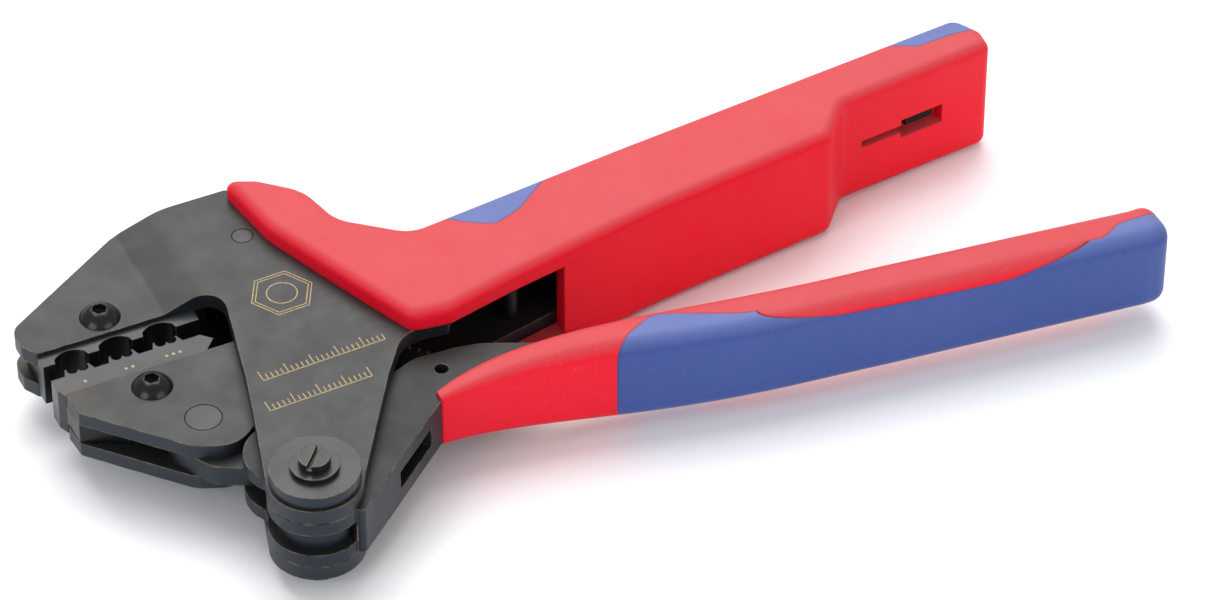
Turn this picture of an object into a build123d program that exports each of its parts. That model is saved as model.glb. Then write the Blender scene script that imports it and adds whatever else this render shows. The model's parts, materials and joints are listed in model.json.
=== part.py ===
from build123d import *
from math import cos, radians, sin
import os

# Parallel-action hand crimping tool lying on its side.
# Plan coordinates are X (along the die parting line, towards the grips) and Y (towards the
# fixed jaw). Heights are measured from the mid-plane of the tool, and each part is raised by
# MID_PLANE_Z when it is written, so that the tool rests on Z = 0.

# Driving dimensions, millimetres
SHELL_HALF = 12.5          # half height of the fixed handle
GRIP_HALF = 9.3            # half height of the moving handle
SHEET = 3.0                # frame and jaw plate thickness
HEAD_HALF = 5.2            # half height over the head and jaw plates
NECK_HALF = 8.2            # half height over the neck plates
CHEEK_HALF = 5.05          # half height over the moving lever's cheeks
CHEEK = 2.7                # lever sheet thickness
RUN = 0.05                 # radial running clearance of pins
SLIDE = 0.1                # side clearance of sliding faces
MID_PLANE_Z = SHELL_HALF
SHIFT_X = -0.5              # from the plan datum to the middle of the bounding box
SHIFT_Y = 0.2

PIVOT = (-67.0, -35.0)     # moving lever on the frame
JAW_JOINT = (-77.4, -9.0)  # toggle link on the sliding jaw
CRANK = (-62.2, -22.3)     # toggle link on the moving lever
CRANK_PLAY = 0.3           # radial clearance of the link on the crank pin
PIVOT_R = 4.0
CRANK_R = 2.5
JAW_PIN_R = 3.3
ROUND_END_R = 8.7
LOBE = (-67.3, -23.7)       # rounded lobe of the lever's cheeks
LOBE_R = 8.1

DIE_PITCH = 8.5
DIE_CENTRE_X = -84.0
DIE_LEFT = -98.0
DIE_RIGHT = -67.8
UPPER_EDGE_Y = 19.2        # lower edge of the fixed jaw
UPPER_FLAT_Y = 16.2        # crimping flats of the fixed die
LOWER_EDGE_Y = 7.3         # upper edge of the sliding jaw
LOWER_FLAT_Y = 12.3        # crimping flats of the sliding die
JAW_TRAVEL = 3.7
DIE_HALF = 4.4             # half height of a die's working face
TONGUE_HALF = 2.1          # half height of a die's tongue between the plates
DISC = 2.6                 # thickness of the setting disc

SCREW_HEAD_R = 3.8         # M4 button head
SCREW_HEAD_H = 2.2
SCREW_R = 2.0
UPPER_SCREW = (-84.0, 23.7)
LOWER_SCREW = (-82.5, 2.5)
DOWEL = (-53.3, 30.0)
DOWEL_R = 1.9
GUIDE_PINS = [(-60.2, 1.8), (-60.2, -7.0)]
GUIDE_PIN_R = 1.8

RIM_R = 45.0               # tooth tips of the ratchet sector about the pivot
TOOTH = 1.2
TOOTH_STEP = 2.4           # degrees
TOOTH_COUNT = 8
PAWL_ANGLE = 53.0          # pawl tip about the pivot, degrees
PAWL_PIN = (-36.5, 10.6)
SECTOR_RIVETS = [(-50.0, -19.8), (-54.5, -26.5)]
SPRING_HOOK = (-41.1, -5.2)
SPRING_POST = (-12.0, 2.9)
TANG_RIVETS = [(10.0, 8.8), (44.0, 13.3)]

# Sections along the moving grip: x, inner side, outer side, half height, corner radius
GRIP_STATIONS = [
    (-37.6, -20.9, -23.3, 5.8, 0.9), (-20.9, -17.85, -24.5, 7.95, 2.5), (-4.2, -19.3, -28.1, 9.2, 3.3),
    (12.5, -21.8, -32.1, GRIP_HALF, 3.5), (29.2, -24.5, -34.75, GRIP_HALF, 3.5),
    (45.9, -26.5, -36.8, GRIP_HALF, 3.5), (62.6, -28.6, -38.7, GRIP_HALF, 3.5),
    (79.3, -30.6, -40.6, GRIP_HALF, 3.5), (96.0, -32.7, -42.5, GRIP_HALF, 3.5)]
GRIP_CURVED = 5            # last station of the curved front; the rear is straight between stations


def polar(radius, angle, centre=PIVOT):
    """Plan point at a radius and an angle in degrees about a centre."""
    return centre[0] + radius * cos(radians(angle)), centre[1] + radius * sin(radians(angle))


def outline(*corners):
    """Closed face through plan corners (x, y) or (x, y, corner radius)."""
    points = [corner[:2] for corner in corners]
    radii = [corner[2] if len(corner) == 3 else 0 for corner in corners]
    return make_face(FilletPolyline(*points, radius=radii, close=True))


def slab(face, low, high):
    """Plate with the face's outline between two heights."""
    return extrude(Pos(0, 0, low) * face, high - low)


def rod(centre, radius, low, high):
    """Upright cylinder between two heights."""
    return slab(Pos(*centre, 0) * Circle(radius), low, high)


def hollow_rod(centre, radius, bore, low, high):
    """Upright tube between two heights."""
    return rod(centre, radius, low, high) - rod(centre, bore, low, high)


def mirrored(part):
    """The same part on the other side of the mid-plane."""
    return mirror(part, Plane.XY)


def write(name, part):
    """Write one part, or a group of like parts, raised to stand on the ground plane."""
    placing = Pos(SHIFT_X, SHIFT_Y, MID_PLANE_Z)
    group = part if isinstance(part, list) else [part]
    placed = Compound([placing * piece for piece in group]) if len(group) > 1 else placing * group[0]
    placed.label = name
    export_step(placed, f"parts/{name}.step")


# Frame

def frame_outline():
    """One frame sheet: head, neck, round pivot end and the tang inside the fixed handle."""
    sheet = outline(
        (-98.0, UPPER_EDGE_Y, 0.8), (-99.8, 22.3, 1.5), (-99.8, 27.0, 3.5), (-73.5, 43.3, 6.0),
        (-51.0, 43.3, 1.0), (-48.4, 37.7, 3.0), (-42.0, 30.9, 6.0), (-39.4, 20.9, 6.0),
        (-30.8, 11.9, 8.0), (52.0, 19.7, 3.0), (52.0, 9.5, 3.0), (-3.8, 0.5, 20.0),
        (-27.0, -4.6, 2.0), (-29.0, -7.5, 0.5), (-37.6, -6.6, 7.0), (-44.4, -15.8, 2.0),
        (-59.9, -39.7), PIVOT, (-75.3, -32.5), (-70.9, -17.3, 30.0), (-67.8, -6.0, 60.0),
        (-62.1, UPPER_EDGE_Y, 5.0))
    return sheet + Pos(*PIVOT) * Circle(ROUND_END_R)


def sheet_profile(low_level, high_level):
    """Side view of a joggled sheet: thin head level, long ramp, neck level; flat below the throat."""
    crease, ramp, bend_end = -73.4, 9.0, 12.0
    side = outline(
        (-110, low_level), (crease, low_level), (crease + ramp, high_level, 12), (60, high_level),
        (60, high_level + SHEET), (crease + ramp, high_level + SHEET, 15), (crease, low_level + SHEET, 3),
        (-110, low_level + SHEET))
    bent = extrude(Plane.XZ.offset(-bend_end) * side, bend_end - 60)
    flat = Pos(-25, bend_end - 30, high_level + SHEET / 2) * Box(170, 60, SHEET)
    return bent + flat


def frame_plate():
    """Upper frame sheet, bent outwards from the head to the neck."""
    plate = slab(frame_outline(), 0, NECK_HALF) & sheet_profile(HEAD_HALF - SHEET, NECK_HALF - SHEET)
    holes = [rod(UPPER_SCREW, SCREW_R, 0, 12), rod(DOWEL, DOWEL_R, 0, 12), rod(PIVOT, PIVOT_R, 0, 12),
             rod(PAWL_PIN, 2.0, 0, 12), rod(SPRING_POST, 1.5, 0, 12)]
    holes += [rod(pin, GUIDE_PIN_R, 0, NECK_HALF - 1.2) for pin in GUIDE_PINS]
    holes += [rod(point, 2.0, 0, 12) for point in TANG_RIVETS]
    return plate - holes


def frame_spacer():
    """Block that holds the two neck sheets apart behind the head."""
    half = NECK_HALF - SHEET
    block = slab(outline((-62.5, 25.5, 1), (-62.5, 40.0, 1), (-52.0, 40.0, 1), (-46.5, 34.0, 1),
                         (-46.5, 25.5, 1)), -half, half)
    return block - rod(DOWEL, DOWEL_R, -half, half)


def tang_spacers():
    """Tubes between the tangs, with the rivets through them."""
    half = NECK_HALF - SHEET
    return [hollow_rod(point, 3.2, 2.0, -half, half) for point in TANG_RIVETS]


def tang_rivets():
    """Flush rivets of the tangs."""
    return [rod(point, 2.0, -NECK_HALF, NECK_HALF) for point in TANG_RIVETS]


def guide_pins():
    """Hardened pins in blind holes of the sheets, on which the jaw slides."""
    reach = NECK_HALF - 1.2
    return [rod(pin, GUIDE_PIN_R, -reach, reach) for pin in GUIDE_PINS]


# Dies

def nest_centres():
    """X of the three crimping nests."""
    return [DIE_CENTRE_X + step * DIE_PITCH for step in (-1, 0, 1)]


def arch(x):
    """Arched recess of the fixed die over one nest."""
    side, shoulder = 3.4, UPPER_FLAT_Y + 1.05
    edges = Polyline((x - 2.9, shoulder), (x - side, UPPER_FLAT_Y - 1), (x + side, UPPER_FLAT_Y - 1),
                     (x + 2.9, shoulder))
    crown = ThreePointArc((x - 2.9, shoulder), (x, shoulder + 1.3), (x + 2.9, shoulder))
    return make_face([edges, crown])


def lobe(x):
    """Raised lobe of the sliding die, with a two-hollow crimping seat on its top."""
    root, tip, seat, depth = 3.1, 2.3, 1.9, 1.5
    top = LOWER_FLAT_Y + 1.6
    cusp = top - 0.5
    rising = Polyline((x - seat, top), (x - tip, top), (x - root, LOWER_FLAT_Y - 0.5),
                      (x + root, LOWER_FLAT_Y - 0.5), (x + tip, top), (x + seat, top))
    left = ThreePointArc((x - seat, top), (x - seat / 2 - 0.2, top - depth), (x, cusp))
    right = ThreePointArc((x, cusp), (x + seat / 2 + 0.2, top - depth), (x + seat, top))
    return make_face([rising, left, right])


def upper_die():
    """Fixed die: working strip below the fixed jaw and a tongue between its plates."""
    strip = outline((DIE_LEFT, UPPER_FLAT_Y), (DIE_RIGHT, UPPER_FLAT_Y), (DIE_RIGHT, UPPER_EDGE_Y),
                    (DIE_LEFT, UPPER_EDGE_Y))
    tongue = outline((DIE_LEFT, UPPER_EDGE_Y), (DIE_RIGHT, UPPER_EDGE_Y), (-73.0, 27.5), (-93.0, 27.5),
                     (DIE_LEFT, 25.0))
    die = slab(strip, -DIE_HALF, DIE_HALF) + slab(tongue, -TONGUE_HALF, TONGUE_HALF)
    die -= [slab(arch(x), -DIE_HALF, DIE_HALF) for x in nest_centres()]
    return die - rod(UPPER_SCREW, SCREW_R, -12, 12)


def lower_die():
    """Sliding die: lobed working strip above the sliding jaw and a tongue between its plates."""
    strip = outline((DIE_LEFT, 9.3), (-97.2, LOWER_EDGE_Y), (-70.3, LOWER_EDGE_Y), (-67.4, 10.4),
                    (-69.2, LOWER_FLAT_Y), (DIE_LEFT, LOWER_FLAT_Y))
    tongue = outline((-97.2, LOWER_EDGE_Y), (-97.0, 1.8), (-89.2, -2.4), (-86.0, -0.8), (-71.0, -0.8),
                     (-71.0, LOWER_EDGE_Y))
    die = slab(strip, -DIE_HALF, DIE_HALF) + slab(tongue, -TONGUE_HALF, TONGUE_HALF)
    die += [slab(lobe(x), -DIE_HALF, DIE_HALF) for x in nest_centres()]
    return die - rod(LOWER_SCREW, SCREW_R, -12, 12)


def button_screw(centre):
    """Socket button-head screw through both plates and the die's tongue."""
    dome_r = (SCREW_HEAD_R ** 2 + SCREW_HEAD_H ** 2) / (2 * SCREW_HEAD_H)
    seat = HEAD_HALF - SLIDE if centre == LOWER_SCREW else HEAD_HALF
    ball = Pos(*centre, seat + SCREW_HEAD_H - dome_r) * Sphere(dome_r)
    head = ball & rod(centre, SCREW_HEAD_R, seat, seat + SCREW_HEAD_H)
    socket = slab(Pos(*centre, 0) * RegularPolygon(1.25, 6, major_radius=False), seat + 0.7, seat + 4)
    return head + rod(centre, SCREW_R, -seat, seat + 0.2) - socket


# Sliding jaw

def jaw_outline():
    """Jaw sheet: working end, round end at the link and the guide tail under the neck."""
    jx, jy = JAW_JOINT
    return outline(
        (-97.4, LOWER_EDGE_Y, 1.0), (-97.0, 1.5, 0.8), (-81.8, -15.4, 8.0), (jx + 3.0, jy - 9.4, 6.5),
        (jx + 10.6, jy - 3.0, 3.0), (-56.2, -12.0, 2.0),
        (-56.2, LOWER_EDGE_Y - 0.6, 2.0), (-64.0, LOWER_EDGE_Y))


def guide_slot(pin):
    """Slot that lets the jaw slide over one fixed guide pin."""
    radius = GUIDE_PIN_R + RUN
    x, y = pin
    low, high = y - JAW_TRAVEL - 0.2, y + 0.2
    return outline((x - radius, low - radius, radius - 0.01), (x + radius, low - radius, radius - 0.01),
                   (x + radius, high + radius, radius - 0.01), (x - radius, high + radius, radius - 0.01))


def jaw_plate():
    """Upper jaw sheet."""
    top = HEAD_HALF - SLIDE
    plate = slab(jaw_outline(), HEAD_HALF - SHEET, top)
    plate -= [rod(LOWER_SCREW, SCREW_R, 0, 12), rod(JAW_JOINT, JAW_PIN_R, 0, 12)]
    return plate - [slab(guide_slot(pin), 0, 12) for pin in GUIDE_PINS]


def jaw_core():
    """Guide block between the jaw sheets' tails."""
    half = HEAD_HALF - SHEET
    core = slab(outline((-67.0, 4.6, 1), (-67.0, -3.0, 1), (-63.0, -9.6, 1), (-57.0, -9.6, 1),
                        (-57.0, 4.6, 1)),
                -half, half)
    return core - [slab(guide_slot(pin), -12, 12) for pin in GUIDE_PINS]


def jaw_pin():
    """Flush pin of the toggle link in the jaw."""
    top = HEAD_HALF - SLIDE
    return rod(JAW_JOINT, JAW_PIN_R, -top, top)


def toggle_link():
    """Link from the jaw pin to the lever's crank pin, with play at the crank end."""
    half = HEAD_HALF - SHEET - SLIDE
    jaw_eye = Pos(*JAW_JOINT) * Circle(6.6)
    belly = Pos(-76.6, -15.6) * Circle(4.2)
    crank_eye = Pos(*CRANK) * Circle(5.2)
    body = slab(make_hull([*jaw_eye.edges(), *belly.edges(), *crank_eye.edges()]), -half, half)
    return body - rod(JAW_JOINT, JAW_PIN_R + RUN, -12, 12) - rod(CRANK, CRANK_R + CRANK_PLAY, -12, 12)


# Moving lever

def cheek_outline():
    """Cheek of the lever: lobe for the crank, round pivot end, arm and tang inside the grip."""
    arm = outline(
        (-73.8, -27.6), LOBE, (-66.0, -15.7), (-58.0, -16.4), (-51.0, -16.6, 8.0), (-43.0, -13.0, 6.0),
        (-37.5, -10.8, 8.0), (-26.0, -11.6, 20.0), (-8.0, -20.0, 20.0), (62.0, -30.6, 2.0),
        (62.0, -35.6, 2.0), (8.0, -28.4, 30.0), (-22.0, -22.6, 30.0), (-35.6, -21.6, 6.0), (-61.6, -43.5, 1.0),
        PIVOT, (-74.4, -31.0))
    return arm + Pos(*LOBE) * Circle(LOBE_R) + Pos(*PIVOT) * Circle(ROUND_END_R)


def web_outline():
    """Band of sheet folded across between the cheeks along their outer edge."""
    outer = cheek_outline()
    band = outer - Pos(-1.2, 2.6) * outer
    return band & outline((-62.5, -50.0), (-62.5, -38.0), (-38.0, -16.0), (-20.0, -20.0), (64.0, -32.0),
                          (64.0, -50.0))


def lever_channel():
    """Folded lever: two cheeks and the web that joins them along the outer edge."""
    cheek = slab(cheek_outline(), CHEEK_HALF - CHEEK, CHEEK_HALF)
    lever = cheek + mirrored(cheek) + slab(web_outline(), -CHEEK_HALF, CHEEK_HALF)
    lever -= Pos(-45.8, -29.9, 0) * Rot(0, 0, 40.5) * Box(12.5, 9.0, 4.2)
    lever -= rod(PIVOT, PIVOT_R + RUN, -12, 12)
    lever -= rod(CRANK, CRANK_R, -12, 12)
    lever -= rod((-34.0, -15.4), 1.3, -12, 12)
    return lever - [rod(point, 1.8, -12, 12) for point in SECTOR_RIVETS]


def crank_pin():
    """Pin of the toggle link between the cheeks."""
    return rod(CRANK, CRANK_R, -CHEEK_HALF, CHEEK_HALF)


def pivot_sleeve():
    """Distance sleeve between the cheeks, turning on the pivot bolt."""
    inner = CHEEK_HALF - CHEEK
    return hollow_rod(PIVOT, 7.0, PIVOT_R + RUN, -inner, inner)


def sector_teeth():
    """Tooth gaps cut into the rim of the ratchet sector."""
    gaps = []
    for number in range(TOOTH_COUNT):
        angle = PAWL_ANGLE - 4.0 - number * TOOTH_STEP
        gaps.append(outline(polar(RIM_R + 0.5, angle), polar(RIM_R - TOOTH, angle),
                            polar(RIM_R - 0.1, angle - TOOTH_STEP), polar(RIM_R + 0.5, angle - TOOTH_STEP)))
    return gaps


def ratchet_sector():
    """Toothed sector riveted between the cheeks."""
    tip = PAWL_ANGLE - 1.6
    rim = ThreePointArc(polar(RIM_R, tip), polar(RIM_R, 40), polar(RIM_R, 24))
    back = Polyline(polar(RIM_R, 24), (-33.0, -18.2), (-43.0, -21.0), (-52.5, -29.5), (-57.8, -26.8),
                    (-52.5, -17.2), polar(36.5, 43), polar(36.5, tip), polar(RIM_R, tip))
    sector = slab(make_face([rim, back]), -1.5, 1.5)
    sector -= [slab(gap, -2, 2) for gap in sector_teeth()]
    return sector - [rod(point, 1.8, -2, 2) for point in SECTOR_RIVETS] - rod(SPRING_HOOK, 0.9, -2, 2)


def sector_rivets():
    """Shouldered rivets, flush with the cheeks."""
    return [rod(point, 1.8, -CHEEK_HALF, CHEEK_HALF) for point in SECTOR_RIVETS]


def sector_washers():
    """Distance washers that centre the sector between the cheeks."""
    inner = CHEEK_HALF - CHEEK
    upper = [hollow_rod(point, 3.0, 1.8, 1.5, inner) for point in SECTOR_RIVETS]
    return upper + [mirrored(washer) for washer in upper]


# Pivot and adjuster

def pivot_bolt():
    """Pivot bolt: flat head below, ring groove and slotted stud above."""
    disc_top = NECK_HALF + DISC
    head = rod(PIVOT, 6.5, -NECK_HALF - 2.2, -NECK_HALF)
    shank = rod(PIVOT, PIVOT_R, -NECK_HALF, NECK_HALF)
    stud = rod(PIVOT, 2.9, NECK_HALF, disc_top + 2.7)
    slot = Pos(*PIVOT, disc_top + 2.7) * Rot(0, 0, 48) * Box(8, 0.8, 2.0)
    groove = hollow_rod(PIVOT, 2.9, 2.4, disc_top, disc_top + 1.0)
    return head + shank + stud - slot - groove


def adjuster_disc():
    """Setting disc on the bolt's stud."""
    return hollow_rod(PIVOT, 8.15, 2.9, NECK_HALF, NECK_HALF + DISC)


def retaining_ring():
    """Open ring in the stud's groove."""
    low = NECK_HALF + DISC
    ring = hollow_rod(PIVOT, 4.45, 2.4, low, low + 1.0)
    return ring - Pos(PIVOT[0] + 3.5, PIVOT[1] + 2.2, low) * Rot(0, 0, 30) * Box(4.0, 2.4, 4)


# Ratchet pawl and springs

def pawl_face():
    """Pawl: round boss on its pin and a tip that stands just clear of the sector's rim."""
    tip = polar(RIM_R + 0.35, PAWL_ANGLE)
    heel = polar(RIM_R + 4.0, PAWL_ANGLE - 6.5)
    x, y = PAWL_PIN
    boss = Pos(x, y) * Circle(3.6)
    arm = outline((x - 3.4, y - 0.6), tip, polar(RIM_R + 1.4, PAWL_ANGLE - 2.2), heel, (x + 3.4, y - 0.6))
    return boss + arm


def pawl():
    """Ratchet pawl between the frame sheets."""
    return slab(pawl_face(), -1.5, 1.5) - rod(PAWL_PIN, 2.0 + RUN, -2, 2)


def pawl_pin():
    """Pin of the pawl, flush with both sheets."""
    return rod(PAWL_PIN, 2.0, -NECK_HALF, NECK_HALF)


def coil_between(start, end, radius, bore, height):
    """Envelope of a coil spring along a straight line in plan."""
    axis = Vector(end[0] - start[0], end[1] - start[1], 0)
    base = Plane(origin=(start[0], start[1], height), z_dir=axis)
    return extrude(base * (Circle(radius) - Circle(bore)), axis.length)


def toward(start, end, distance):
    """Plan point at a distance from one point towards another."""
    axis = Vector(end[0] - start[0], end[1] - start[1], 0).normalized()
    return start[0] + axis.X * distance, start[1] + axis.Y * distance


def return_spring():
    """Tension spring that opens the tool."""
    start = toward(SPRING_HOOK, SPRING_POST, 3.0)
    end = toward(SPRING_POST, SPRING_HOOK, 3.0)
    return coil_between(start, end, 1.6, 0.9, 3.4)


def spring_post():
    """Post between the sheets that holds the return spring's fixed end."""
    return rod(SPRING_POST, 1.5, -NECK_HALF, NECK_HALF)


def spring_stud():
    """Stud on the sector for the return spring's moving end."""
    return rod(SPRING_HOOK, 0.9, -1.5, 5.0)


def pawl_spring():
    """Envelope of the torsion spring wound round the pawl's pin."""
    return hollow_rod(PAWL_PIN, 3.2, 2.0 + RUN, 1.6, 4.8)


# Fixed handle

def handle_outline():
    """Plan of the fixed handle's moulding."""
    return outline(
        (-52.0, 42.3, 1.0), (-49.7, 26.7, 10.0), (-42.0, 6.9, 20.0), (-36.2, -7.3, 3.0), (-28.8, -8.3, 1.5),
        (-14.8, -5.1, 20.0), (17.2, 0.7, 60.0), (54.8, 5.2, 3.0), (61.0, 12.4, 4.0), (94.0, 15.8, 2.0),
        (94.4, 20.6, 3.0), (91.4, 26.1, 3.0), (17.2, 19.1, 80.0), (-26.6, 14.3, 6.0), (-37.2, 23.3, 8.0),
        (-39.4, 33.3, 10.0), (-46.2, 39.6, 3.0))


def handle_moulding():
    """Sleeve over the tangs with rounded outer edges, open towards the moving handle."""
    body = slab(handle_outline(), -SHELL_HALF, SHELL_HALF)
    return fillet(body.edges().filter_by(Plane.XY), 2.2)


def mouth_outline():
    """Mouth of the sleeve on its inner side, where the lever closes into it."""
    return outline((-37.0, -14.0), (-3.8, -14.0), (-3.8, 2.7), (-27.8, -2.9), (-37.3, -2.7))


def recess_outline():
    """Shallow recess along the wall behind the mouth."""
    return outline((-5.0, -8.0), (58.0, 3.0), (58.0, 4.9), (40.0, 3.3), (17.2, 0.3), (-5.0, -3.1))


def throat_outline():
    """Space in the sleeve between the tangs."""
    return outline((-60.0, -22.0), (-30.0, -22.0), (-3.8, 0.7), (52.0, 9.7), (52.0, 19.5), (-24.8, 12.1),
                   (-60.0, 28.0))


def insert_outline():
    """Soft insert along the outer side of the fixed handle, with a lobe at each end."""
    return outline(
        (-22.8, 24.0), (-21.2, 15.1), (-17.3, 11.7, 2.0), (-12.3, 8.5, 3.5), (-6.3, 10.7, 3.0),
        (1.4, 16.5, 3.0),
        (74.0, 24.6, 2.0), (81.0, 20.8, 3.0), (88.0, 21.3, 2.0), (97.0, 20.5), (97.0, 34.0), (-22.8, 25.0))


def fixed_insert(moulding):
    """Soft insert let into the moulding's outer side: a lobe at each end and a band between them."""
    lobes = slab(insert_outline(), -14, 14)
    band = slab(outline((-8.0, 14.9), (17.2, 17.8), (80.0, 23.6), (80.0, 30.0), (-8.0, 30.0)), -8.5, 8.5)
    core = slab(outline((-30.8, 3.3), (99.2, 15.3), (99.2, 22.9), (19.2, 15.9), (-30.8, 10.9)),
                -SHELL_HALF + 1.2, SHELL_HALF - 1.2)
    return (moulding & (lobes + band)) - core


def fixed_handle():
    """Moulding and soft insert of the fixed handle."""
    moulding = handle_moulding()
    insert = fixed_insert(moulding)
    cavity = slab(frame_outline(), -NECK_HALF, NECK_HALF) + slab(mouth_outline(), -NECK_HALF, NECK_HALF)
    cavity += slab(throat_outline(), -NECK_HALF, NECK_HALF)
    recess = slab(recess_outline(), -NECK_HALF, NECK_HALF)
    slot = Pos(69.8, 13.3, 0) * Box(8.8, 5, 1.6) + Pos(78.8, 14.2, 0) * Box(9.2, 6, 4.2)
    slot += Pos(78.0, 16.5, 1.0) * Box(7.0, 9, 2.0)
    return moulding - cavity - recess - insert - slot, insert - cavity


# Moving handle's grip

def grip_section(x, inner, outer, half, radius):
    """Rounded cross-section of the grip at one station along it."""
    plane = Plane(origin=(x, (inner + outer) / 2, 0), x_dir=(0, 1, 0), z_dir=(1, 0, 0))
    return plane * RectangleRounded(inner - outer, 2 * half, radius)


def grip_body():
    """Solid of the grip through its sections: curved front, straight rear, rounded end."""
    sections = [grip_section(*station) for station in GRIP_STATIONS]
    front = loft(sections[:GRIP_CURVED + 1])
    rear = loft(sections[GRIP_CURVED:], ruled=True)
    body = front + rear + extrude(sections[-1], 4.8)
    return fillet(body.faces().sort_by(Axis.X)[-1].edges(), 3.0)


def grip_insert_outline():
    """Soft insert along the grip's outer side, with a tall lobe near the front."""
    return outline(
        (-12.5, -36.0), (-12.0, -33.0), (-7.5, -29.5, 1.0), (-1.4, -25.4, 3.0), (4.6, -22.6, 4.0),
        (11.6, -26.0, 5.0),
        (19.6, -29.6, 8.0), (38.0, -32.6, 20.0), (72.0, -36.6, 10.0), (88.0, -39.2, 3.0), (92.0, -37.0, 2.0),
        (103.0, -37.0), (103.0, -48.0), (-12.5, -48.0))


def grip_insert_side():
    """Side view of the insert: it leaves the upper rounding free between its two ends."""
    face = outline((-14, 12), (14, 12, 10), (22, 9, 20), (36, 7, 30), (68, 6.3, 30), (88, 9.6, 10), (93, 12),
                   (104, 12), (104, -12), (-14, -12))
    return extrude(Plane.XZ * face, 60)


def moving_grip():
    """Moulded grip and its soft insert around the lever's tang."""
    body = grip_body()
    tang = slab(cheek_outline(), -CHEEK_HALF, CHEEK_HALF)
    opening = outline((-40, -10), (-6, -10), (-6, -19.0), (-22, -21.0), (-40, -20.6))
    mouth = slab(opening, -CHEEK_HALF, CHEEK_HALF)
    sleeve = body - tang - mouth
    core = slab(outline((-40, -10), (98.2, -24), (98.2, -40.6), (60.0, -36.4), (20.0, -31.4), (4.0, -28.2),
                        (-12.0, -24.0), (-40.0, -20.0)), -GRIP_HALF + 2.1, GRIP_HALF - 2.1)
    insert = (sleeve & slab(grip_insert_outline(), -12, 12) & grip_insert_side()) - core
    return sleeve - insert, insert


def main():
    """Build every part and write it to its own file."""
    os.makedirs("parts", exist_ok=True)
    plate = frame_plate()
    jaw = jaw_plate()
    shell, soft_insert = fixed_handle()
    grip, grip_insert = moving_grip()
    parts = {
        "frame_plate_top": plate,
        "frame_plate_bottom": mirrored(plate),
        "frame_dowel": rod(DOWEL, DOWEL_R, -NECK_HALF, NECK_HALF),
        "frame_spacer": frame_spacer(),
        "tang_spacers": tang_spacers(),
        "tang_rivets": tang_rivets(),
        "guide_pins": guide_pins(),
        "upper_die": upper_die(),
        "upper_die_screw": button_screw(UPPER_SCREW),
        "pivot_bolt": pivot_bolt(),
        "adjuster_disc": adjuster_disc(),
        "retaining_ring": retaining_ring(),
        "pawl_pin": pawl_pin(),
        "spring_post": spring_post(),
        "return_spring": return_spring(),
        "fixed_handle_shell": shell,
        "fixed_handle_insert": soft_insert,
        "ratchet_pawl": pawl(),
        "pawl_spring": pawl_spring(),
        "jaw_plate_top": jaw,
        "jaw_plate_bottom": mirrored(jaw),
        "jaw_core": jaw_core(),
        "jaw_pin": jaw_pin(),
        "lower_die": lower_die(),
        "lower_die_screw": button_screw(LOWER_SCREW),
        "toggle_link": toggle_link(),
        "lever_channel": lever_channel(),
        "crank_pin": crank_pin(),
        "pivot_sleeve": pivot_sleeve(),
        "ratchet_sector": ratchet_sector(),
        "sector_rivets": sector_rivets(),
        "sector_washers": sector_washers(),
        "spring_stud": spring_stud(),
        "grip_sleeve": grip,
        "grip_insert": grip_insert,
    }
    for name, part in parts.items():
        write(name, part)


main()
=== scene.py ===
import json
import math
import bmesh
import bpy
from mathutils import Matrix, Vector


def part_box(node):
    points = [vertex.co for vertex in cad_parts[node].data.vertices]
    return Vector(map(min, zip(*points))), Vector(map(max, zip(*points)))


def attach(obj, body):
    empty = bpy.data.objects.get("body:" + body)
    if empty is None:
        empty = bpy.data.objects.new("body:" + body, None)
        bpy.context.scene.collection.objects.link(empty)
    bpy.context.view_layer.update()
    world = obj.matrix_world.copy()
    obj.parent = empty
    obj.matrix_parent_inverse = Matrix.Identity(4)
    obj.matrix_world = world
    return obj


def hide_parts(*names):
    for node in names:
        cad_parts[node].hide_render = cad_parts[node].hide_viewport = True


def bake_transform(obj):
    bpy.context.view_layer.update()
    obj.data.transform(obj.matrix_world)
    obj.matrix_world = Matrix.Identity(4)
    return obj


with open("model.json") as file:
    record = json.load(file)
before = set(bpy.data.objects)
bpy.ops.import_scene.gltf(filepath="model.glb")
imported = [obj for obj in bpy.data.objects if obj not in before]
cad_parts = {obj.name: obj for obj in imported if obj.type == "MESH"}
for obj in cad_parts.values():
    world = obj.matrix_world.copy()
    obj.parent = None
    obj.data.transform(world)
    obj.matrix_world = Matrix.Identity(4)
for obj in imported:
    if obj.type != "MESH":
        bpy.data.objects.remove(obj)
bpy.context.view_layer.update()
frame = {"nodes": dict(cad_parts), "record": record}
NODES = frame["nodes"]
MM = 0.001
PLAN_SHIFT = (-0.5, 0.2)   # drawing origin to part origin, in millimetres
MID_Z = 12.5               # height of the mid-plane, in millimetres
CAMERA_TARGET = (2.444, -5.928)
CAMERA_SIDE = (-0.4305, -0.9026)
CAMERA_TILT = math.radians(41.5)
CAMERA_DISTANCE = 1.0949
CAMERA_LENS = 179.25
SENSOR_WIDTH = 36.0
RING_SIDES = 32
DISC_SIDES = 16
COIL_STEPS = 14
ETCH_DEPTH = 0.03 * MM


def place(x, y, z=0.0):
    """Row-frame point in metres from plan millimetres and a height over the mid-plane."""
    return Vector(((x + PLAN_SHIFT[0]) * MM, (y + PLAN_SHIFT[1]) * MM, (z + MID_Z) * MM))


def middle(node):
    """Centre of a CAD node's box."""
    low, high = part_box(node)
    return (Vector(low) + Vector(high)) / 2


# Camera, floor and light

def look_at(obj, point):
    """Turn a light or camera towards a point."""
    obj.rotation_euler = (Vector(point) - obj.location).to_track_quat("-Z", "Y").to_euler()


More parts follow.
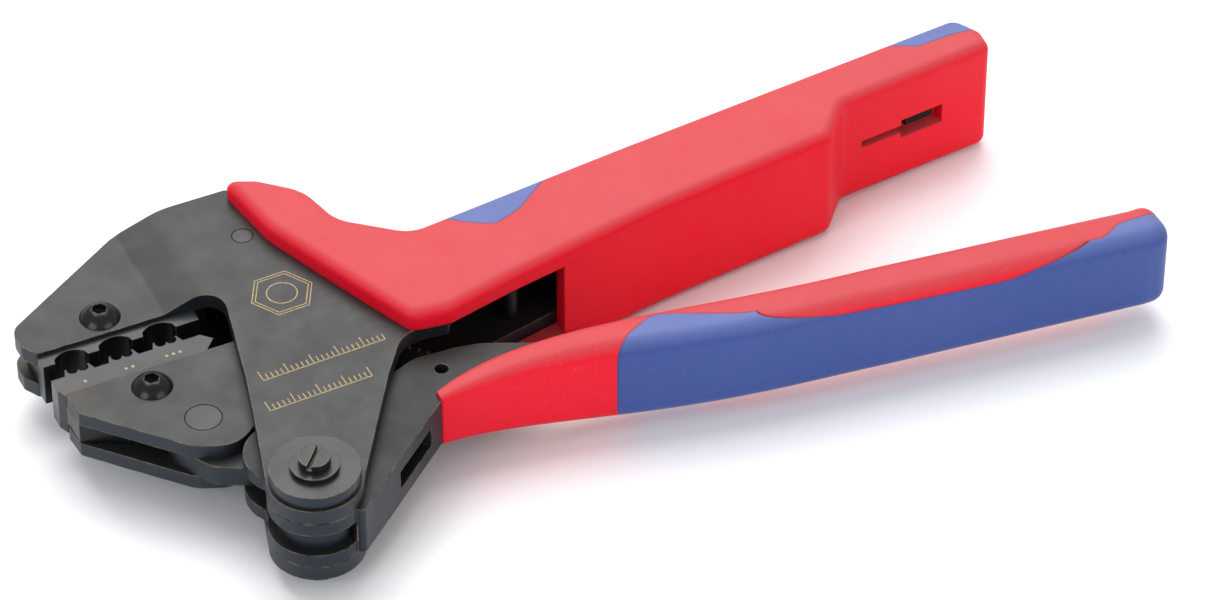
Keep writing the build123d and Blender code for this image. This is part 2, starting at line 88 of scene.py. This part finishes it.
def build_camera():
    """Long lens at the photograph's angle."""
    target = place(*CAMERA_TARGET)
    level = math.cos(CAMERA_TILT)
    back = Vector((CAMERA_SIDE[0] * level, CAMERA_SIDE[1] * level, math.sin(CAMERA_TILT)))
    data = bpy.data.cameras.new("camera")
    data.lens = CAMERA_LENS
    data.sensor_width = SENSOR_WIDTH
    data.clip_start = 0.01
    camera = bpy.data.objects.new("camera", data)
    bpy.context.scene.collection.objects.link(camera)
    camera.location = target + back * CAMERA_DISTANCE
    look_at(camera, target)
    bpy.context.scene.camera = camera


def area_light(name, location, size, energy, colour=(1, 1, 1)):
    """Soft square light aimed at the tool."""
    data = bpy.data.lights.new(name, "AREA")
    data.shape = "SQUARE"
    data.size = size
    data.energy = energy
    data.color = colour
    light = bpy.data.objects.new(name, data)
    bpy.context.scene.collection.objects.link(light)
    light.location = location
    look_at(light, (0, 0, 0.01))


def build_studio():
    """Pale floor, wide overhead softbox, a fill from the camera's side and a pale surround."""
    bpy.ops.mesh.primitive_plane_add(size=6, location=(0, 0, -0.0002))
    floor = bpy.context.object
    floor.name = "floor"
    paint = bpy.data.materials.new("floor_paint")
    paint.use_nodes = True
    shader = paint.node_tree.nodes["Principled BSDF"]
    shader.inputs["Base Color"].default_value = (0.93, 0.93, 0.93, 1)
    shader.inputs["Roughness"].default_value = 0.9
    floor.data.materials.append(paint)
    area_light("softbox", (0.10, 0.50, 0.85), 1.0, 12)
    area_light("left_fill", (-0.9, -0.35, 0.5), 0.6, 3.2, (0.90, 0.95, 1.0))
    area_light("front_fill", (0.35, -0.9, 0.45), 0.7, 2.6)
    world = bpy.data.worlds.new("surround")
    bpy.context.scene.world = world
    world.use_nodes = True
    world.node_tree.nodes["Background"].inputs["Color"].default_value = (0.95, 0.97, 1.0, 1)
    world.node_tree.nodes["Background"].inputs["Strength"].default_value = 0.58
    bpy.context.scene.view_settings.view_transform = "Standard"


# Materials

class Shader:
    """Small helper around one material's node tree."""

    def __init__(self, name):
        self.material = bpy.data.materials.new(name)
        self.material.use_nodes = True
        self.tree = self.material.node_tree
        self.bsdf = self.tree.nodes["Principled BSDF"]
        self.coordinates = self.tree.nodes.new("ShaderNodeTexCoord").outputs["Object"]

    def node(self, kind, values=None, **settings):
        """Add a node, set its properties, and set or link its inputs."""
        made = self.tree.nodes.new(kind)
        for key, value in settings.items():
            setattr(made, key, value)
        for key, value in (values or {}).items():
            if isinstance(value, bpy.types.NodeSocket):
                self.tree.links.new(value, made.inputs[key])
            else:
                made.inputs[key].default_value = value
        return made

    def noise(self, scale, detail=3.0, roughness=0.55):
        """Noise value in object space."""
        values = {"Vector": self.coordinates, "Scale": scale, "Detail": detail, "Roughness": roughness}
        return self.node("ShaderNodeTexNoise", values).outputs[0]

    def span(self, value, low, high, to_low=0.0, to_high=1.0):
        """Clamped linear mapping of a value."""
        values = {"Value": value, "From Min": low, "From Max": high, "To Min": to_low, "To Max": to_high}
        return self.node("ShaderNodeMapRange", values).outputs[0]

    def mix(self, factor, first, second):
        """Mix two colours."""
        made = self.node("ShaderNodeMix", data_type="RGBA")
        for socket, value in ((made.inputs[0], factor), (made.inputs[6], first), (made.inputs[7], second)):
            if isinstance(value, bpy.types.NodeSocket):
                self.tree.links.new(value, socket)
            else:
                socket.default_value = value
        return made.outputs[2]

    def math(self, operation, first, second):
        """One arithmetic step."""
        made = self.node("ShaderNodeMath", {0: first, 1: second}, operation=operation)
        return made.outputs[0]

    def edge(self, radius):
        """How close the surface is to an outer or inner edge, from 0 to 1."""
        soft = self.node("ShaderNodeBevel", {"Radius": radius}, samples=4).outputs[0]
        flat = self.node("ShaderNodeNewGeometry").outputs["Normal"]
        dot = self.node("ShaderNodeVectorMath", {0: soft, 1: flat}, operation="DOT_PRODUCT").outputs["Value"]
        return self.span(dot, 0.995, 0.86)

    def level(self):
        """How flat the surface lies, from 0 on an upright face to 1 on a level one."""
        normal = self.node("ShaderNodeNewGeometry").outputs["Normal"]
        parts = self.node("ShaderNodeSeparateXYZ", {0: normal})
        return self.math("ABSOLUTE", parts.outputs["Z"], 0.0)

    def connect(self, name, value):
        """Link a socket to the shader."""
        self.tree.links.new(value, self.bsdf.inputs[name])

    def relief(self, height, distance, strength, edge_radius):
        """Bump over softened edges."""
        soft = self.node("ShaderNodeBevel", {"Radius": edge_radius}, samples=4).outputs[0]
        values = {"Strength": strength, "Distance": distance, "Height": height, "Normal": soft}
        self.connect("Normal", self.node("ShaderNodeBump", values).outputs[0])


def grey(value, warmth=0.0):
    """Nearly neutral colour."""
    return (value * (1 + warmth), value, value * (1 - warmth), 1)


def steel(name, dark, light, wear=0.6, rough=(0.36, 0.52), metallic=0.75, side=None, edge_radius=0.00035,
          gloss=0.5):
    """Black-oxide or ground steel: fine grain, cloudy finish, brown-gold wear along the edges.

    With a side colour, faces that stand upright are painted that darker colour: painted shade on the upright
    faces.
    """
    shader = Shader(name)
    cloud = shader.span(shader.noise(55.0, 5.0, 0.6), 0.3, 0.7)
    colour = shader.mix(cloud, grey(dark), grey(light))
    grain = shader.noise(5200.0, 2.0)
    colour = shader.mix(shader.span(grain, 0.35, 0.75, 0.0, 0.35), colour, grey(light * 1.5))
    stain = shader.span(shader.noise(38.0, 4.0, 0.7), 0.52, 0.74, 0.0, 0.5)
    colour = shader.mix(stain, colour, (light * 1.2, light * 1.0, light * 0.72, 1))
    # Painted shade: upright faces are mixed towards the dark side colour.
    if side:
        colour = shader.mix(shader.span(shader.level(), 0.75, 0.35), colour, side)
    patch = shader.span(shader.noise(420.0, 4.0, 0.7), 0.36, 0.60)
    worn = shader.math("MULTIPLY", shader.math("MULTIPLY", shader.edge(edge_radius), patch), wear)
    colour = shader.mix(worn, colour, (0.30, 0.22, 0.12, 1))
    shader.connect("Base Color", colour)
    shader.connect("Roughness", shader.span(shader.noise(160.0, 6.0, 0.65), 0.3, 0.7, *rough))
    shader.bsdf.inputs["Metallic"].default_value = metallic
    shader.bsdf.inputs["Specular IOR Level"].default_value = gloss
    shader.relief(grain, 0.00001, 0.35, edge_radius * 0.8)
    return shader.material


# The level argument is the paler colour painted on level faces as a painted sheen.
def moulded(name, base, level, rough, grain_scale, grain_height, sheen=0.0, gloss=0.3):
    """Moulded plastic with a fine texture and a painted sheen: faces that lie level are painted paler, as if
    lit from above.
    """
    shader = Shader(name)
    drift = shader.span(shader.noise(26.0, 4.0, 0.5), 0.3, 0.7, 0.0, 0.35)
    # Painted sheen mask: level faces, plus some random drift, take the paler colour.
    sheen_and_drift = shader.math("MULTIPLY_ADD", shader.span(shader.level(), 0.35, 0.95), 0.85)
    shader.tree.links.new(shader.math("MULTIPLY", drift, 0.4), sheen_and_drift.node.inputs[2])
    colour = shader.mix(sheen_and_drift, base, level)
    speck = shader.span(shader.noise(grain_scale * 0.6, 2.0), 0.60, 0.8, 0.0, 0.35)
    colour = shader.mix(speck, colour, tuple(min(1.0, c * 1.15 + 0.03) for c in level[:3]) + (1,))
    shader.connect("Base Color", colour)
    rub = shader.span(shader.noise(90.0, 5.0, 0.65), 0.3, 0.7, rough - 0.05, rough + 0.08)
    shader.connect("Roughness", rub)
    shader.bsdf.inputs["Specular IOR Level"].default_value = gloss
    shader.bsdf.inputs["Sheen Weight"].default_value = sheen
    shader.relief(shader.noise(grain_scale, 3.0, 0.6), grain_height, 0.6, 0.0006)
    return shader.material


def etched(name):
    """Gold-brown laser etching."""
    shader = Shader(name)
    fleck = shader.span(shader.noise(3000.0, 2.0), 0.3, 0.7)
    shader.connect("Base Color", shader.mix(fleck, (0.20, 0.14, 0.055, 1), (0.40, 0.30, 0.13, 1)))
    shader.bsdf.inputs["Metallic"].default_value = 0.4
    shader.bsdf.inputs["Roughness"].default_value = 0.5
    return shader.material


def build_materials():
    """One material per slot of the record, and the etching."""
    # Painted shade colours for upright faces: dark blue-grey for the plates, lever, disc and pin, near-black
    # for the dies.
    upright_shade_blue, black = (0.018, 0.024, 0.032, 1), (0.006, 0.007, 0.009, 1)
    # Red and blue of the grips, each with a paler colour painted on level faces as a painted sheen.
    red, sheen_top_red = (0.78, 0.004, 0.022, 1), (0.52, 0.064, 0.070, 1)
    blue, sheen_top_blue = (0.026, 0.060, 0.262, 1), (0.105, 0.138, 0.350, 1)
    return {
        "plate_steel": steel("plate_steel", 0.022, 0.033, wear=0.9, metallic=0.5, side=upright_shade_blue),
        "lever_steel": steel(
            "lever_steel", 0.014, 0.022, wear=0.9, rough=(0.32, 0.48), metallic=0.3, side=upright_shade_blue, gloss=0.25),
        "die_steel": steel(
            "die_steel", 0.026, 0.040, wear=0.35, rough=(0.28, 0.42), metallic=0.5, side=black),
        "screw_black": steel("screw_black", 0.010, 0.016, wear=0.1, rough=(0.14, 0.24), metallic=0.5),
        "disc_steel": steel(
            "disc_steel", 0.026, 0.040, wear=0.95, rough=(0.28, 0.42), metallic=0.6, side=upright_shade_blue),
        "pin_steel": steel(
            "pin_steel", 0.028, 0.040, wear=0.5, rough=(0.3, 0.44), metallic=0.6, side=upright_shade_blue),
        "spring_steel": steel("spring_steel", 0.10, 0.16, wear=0.0, rough=(0.2, 0.3), metallic=0.9),
        "red_plastic": moulded("red_plastic", red, sheen_top_red, 0.46, 2600.0, 0.00004, gloss=0.15),
        "blue_soft": moulded("blue_soft", blue, sheen_top_blue, 0.5, 3400.0, 0.00003, 0.1),
        # Near-black: the dark joint lines round the pins, and the painted shade block in the handle's slot.
        "gap_black": steel("gap_black", 0.002, 0.004, wear=0.0, metallic=0.0, gloss=0.1),
        "etched": etched("etched"),
    }


def dress_nodes(materials):
    """Give every CAD node its slot's material."""
    for part in frame["record"]["subparts"]:
        mesh = NODES[part["node"]].data
        mesh.materials.clear()
        mesh.materials.append(materials[part["material_slot"]])


# Springs

def wire(name, points, thickness, material):
    """Round wire along points."""
    data = bpy.data.curves.new(name, "CURVE")
    data.dimensions = "3D"
    data.bevel_depth = thickness / 2
    data.bevel_resolution = 3
    data.use_fill_caps = True
    spline = data.splines.new("POLY")
    spline.points.add(len(points) - 1)
    for made, point in zip(spline.points, points):
        made.co = (*point, 1)
    curve = bpy.data.objects.new(name + "_path", data)
    mesh = bpy.data.meshes.new_from_object(curve)
    bpy.data.objects.remove(curve)
    mesh.materials.clear()
    mesh.materials.append(material)
    mesh.polygons.foreach_set("use_smooth", [True] * len(mesh.polygons))
    piece = bpy.data.objects.new(name, mesh)
    bpy.context.scene.collection.objects.link(piece)
    return piece


def ring_points(centre, radius, start, sweep, count=14):
    """Points on a flat arc."""
    angles = [start + sweep * step / (count - 1) for step in range(count)]
    return [centre + Vector((math.cos(a), math.sin(a), 0)) * radius for a in angles]


def closed_ring(centre, radius, sides, start=0.0):
    """Points all the way round a circle."""
    return ring_points(centre, radius, start, 2 * math.pi * (sides - 1) / sides, sides)


def build_return_spring(materials):
    """Close-wound tension spring with a loop round the stud and one round the post."""
    stud, post = middle("spring_stud"), middle("spring_post")
    height = middle("return_spring").z
    stud.z = post.z = height
    along = (post - stud).normalized()
    across = Vector((-along.y, along.x, 0))
    up = Vector((0, 0, 1))
    length = (post - stud).length
    start, end, radius, pitch = 3.2 * MM, length - 3.6 * MM, 1.25 * MM, 0.78 * MM
    turns = (end - start) / pitch
    heading = math.atan2(along.y, along.x)
    points = ring_points(stud, 1.35 * MM, heading + 0.5, 2 * math.pi - 1.0)
    count = int(turns * COIL_STEPS)
    for step in range(count + 1):
        angle = 2 * math.pi * turns * step / count
        points.append(stud + along * (start + (end - start) * step / count)
                      + across * radius * math.sin(angle) + up * radius * math.cos(angle))
    points += ring_points(post, 1.95 * MM, heading + math.pi + 0.5, 2 * math.pi - 1.0)
    piece = wire("return_spring_wire", points, 0.62 * MM, materials["spring_steel"])
    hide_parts("return_spring")
    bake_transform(piece)


def build_pawl_spring(materials):
    """Torsion spring round the pawl's pin."""
    low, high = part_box("pawl_spring")
    centre = middle("pawl_spring")
    margin, radius = 0.3 * MM, 2.85 * MM
    rise, turns, steps = high[2] - low[2] - 2 * margin, 4, 16
    points = []
    for step in range(turns * steps + 1):
        angle = 2 * math.pi * step / steps
        lift = low[2] + margin + rise * step / (turns * steps)
        reach = Vector((math.cos(angle), math.sin(angle), 0)) * radius
        points.append(Vector((centre.x + reach.x, centre.y + reach.y, lift)))
    piece = wire("pawl_spring_wire", points, 0.55 * MM, materials["spring_steel"])
    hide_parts("pawl_spring")
    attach(piece, "frame")


# Etched and stamped marks on the neck and the sliding die

def ribbon(mesh, points, width, height, closed=False):
    """Raised flat line through plan points."""
    count = len(points)
    rows = []
    for index, point in enumerate(points):
        before = points[index - 1] if index or closed else point
        after = points[(index + 1) % count] if index < count - 1 or closed else point
        run = (after - before).normalized()
        side = Vector((-run.y, run.x, 0)) * width / 2
        rows.append([mesh.verts.new(point + side), mesh.verts.new(point - side),
                     mesh.verts.new(point - side - Vector((0, 0, height))),
                     mesh.verts.new(point + side - Vector((0, 0, height)))])
    for index in range(count if closed else count - 1):
        one, two = rows[index], rows[(index + 1) % count]
        for corner in range(4):
            after = (corner + 1) % 4
            mesh.faces.new((one[corner], one[after], two[after], two[corner]))
    if not closed:
        mesh.faces.new(rows[0][::-1])
        mesh.faces.new(rows[-1])


def disc(mesh, centre, radius, height):
    """Small raised round spot."""
    points = closed_ring(centre, radius, DISC_SIDES)
    top = [mesh.verts.new(point) for point in points]
    low = [mesh.verts.new(v.co - Vector((0, 0, height))) for v in top]
    mesh.faces.new(top)
    mesh.faces.new(low[::-1])
    for index in range(DISC_SIDES):
        after = (index + 1) % DISC_SIDES
        mesh.faces.new((top[index], low[index], low[after], top[after]))


def from_bmesh(name, mesh, material, body):
    """Object from a finished bmesh."""
    bmesh.ops.recalc_face_normals(mesh, faces=mesh.faces)
    data = bpy.data.meshes.new(name)
    mesh.to_mesh(data)
    mesh.free()
    data.materials.append(material)
    piece = bpy.data.objects.new(name, data)
    bpy.context.scene.collection.objects.link(piece)
    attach(piece, body)


def build_neck_marks(materials):
    """Generic nut symbol and two ruled scales etched on the neck."""
    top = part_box("frame_plate_top")[1][2] + 0.015 * MM
    mesh = bmesh.new()
    heading = math.radians(2)
    along = Vector((math.cos(heading), math.sin(heading), 0))
    across = Vector((-along.y, along.x, 0))
    centre = place(-53.0, 12.4)
    centre.z = top
    for radius, sides in ((6.0, 6), (5.3, 6), (2.8, RING_SIDES)):
        points = closed_ring(centre, radius * MM, sides, heading)
        ribbon(mesh, points, 0.22 * MM, ETCH_DEPTH, closed=True)
    for x, y, ticks in ((-65.2, -7.9, 25), (-67.2, -15.7, 21)):
        start = place(x, y)
        start.z = top
        ribbon(mesh, [start, start + along * (ticks - 1) * MM], 0.2 * MM, ETCH_DEPTH)
        for tick in range(ticks):
            foot = start + along * tick * MM
            reach = 2.6 if tick % 5 == 0 else 1.5
            ribbon(mesh, [foot, foot + across * reach * MM], 0.2 * MM, ETCH_DEPTH)
    from_bmesh("neck_etching", mesh, materials["etched"], "frame")


def build_die_marks(materials):
    """One, two and three dots that index the nests."""
    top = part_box("lower_die")[1][2] + 0.012 * MM
    mesh = bmesh.new()
    for count, x in ((1, -92.5), (2, -84.0), (3, -75.5)):
        for number in range(count):
            spot = place(x + (number - (count - 1) / 2) * 1.3, 9.6)
            spot.z = top
            disc(mesh, spot, 0.32 * MM, ETCH_DEPTH)
    from_bmesh("die_index_dots", mesh, materials["etched"], "jaw")


def build_stamps(materials):
    """Small stamped marks in the neck beside the setting disc."""
    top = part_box("frame_plate_top")[1][2] + 0.012 * MM
    mesh = bmesh.new()
    for x, y, turn in ((-64.6, -25.2, 0.2), (-70.9, -26.2, 1.3)):
        spot = place(x, y)
        spot.z = top
        bow = ring_points(spot, 1.0 * MM, turn, math.pi, 12)
        ribbon(mesh, bow, 0.24 * MM, 0.025 * MM, closed=True)
    from_bmesh("neck_stamps", mesh, materials["screw_black"], "frame")


def build_slot_shade_block(materials):
    """Dark bevelled block in the upper half of the handle's slot, seated in the pocket behind it: painted
    shade standing in for the dark hollow of the slot.
    """
    mesh = bmesh.new()
    bmesh.ops.create_cube(mesh, size=1.0)
    bmesh.ops.scale(mesh, vec=Vector((6.4, 6.8, 1.7)) * MM, verts=mesh.verts)
    bmesh.ops.bevel(mesh, geom=mesh.edges[:], offset=0.25 * MM, segments=2, affect="EDGES", profile=0.5)
    bmesh.ops.rotate(mesh, matrix=Matrix.Rotation(math.radians(5.9), 3, "Z"), verts=mesh.verts)
    bmesh.ops.translate(mesh, vec=place(78.0, 17.9, 1.0), verts=mesh.verts)
    from_bmesh("slot_shade_block", mesh, materials["gap_black"], "frame")


def build_pin_rings(materials):
    """Thin dark joint lines round the flush pins."""
    for node, body in (("frame_dowel", "frame"), ("jaw_pin", "jaw")):
        low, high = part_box(node)
        centre = middle(node)
        centre.z = high[2] + 0.01 * MM
        mesh = bmesh.new()
        radius = (high[0] - low[0]) / 2 + 0.05 * MM
        points = closed_ring(centre, radius, RING_SIDES)
        ribbon(mesh, points, 0.22 * MM, ETCH_DEPTH, closed=True)
        from_bmesh(node + "_ring", mesh, materials["gap_black"], body)


build_camera()
build_studio()
MATERIALS = build_materials()
dress_nodes(MATERIALS)
build_return_spring(MATERIALS)
build_pawl_spring(MATERIALS)
build_neck_marks(MATERIALS)
build_die_marks(MATERIALS)
build_stamps(MATERIALS)
build_slot_shade_block(MATERIALS)
build_pin_rings(MATERIALS)
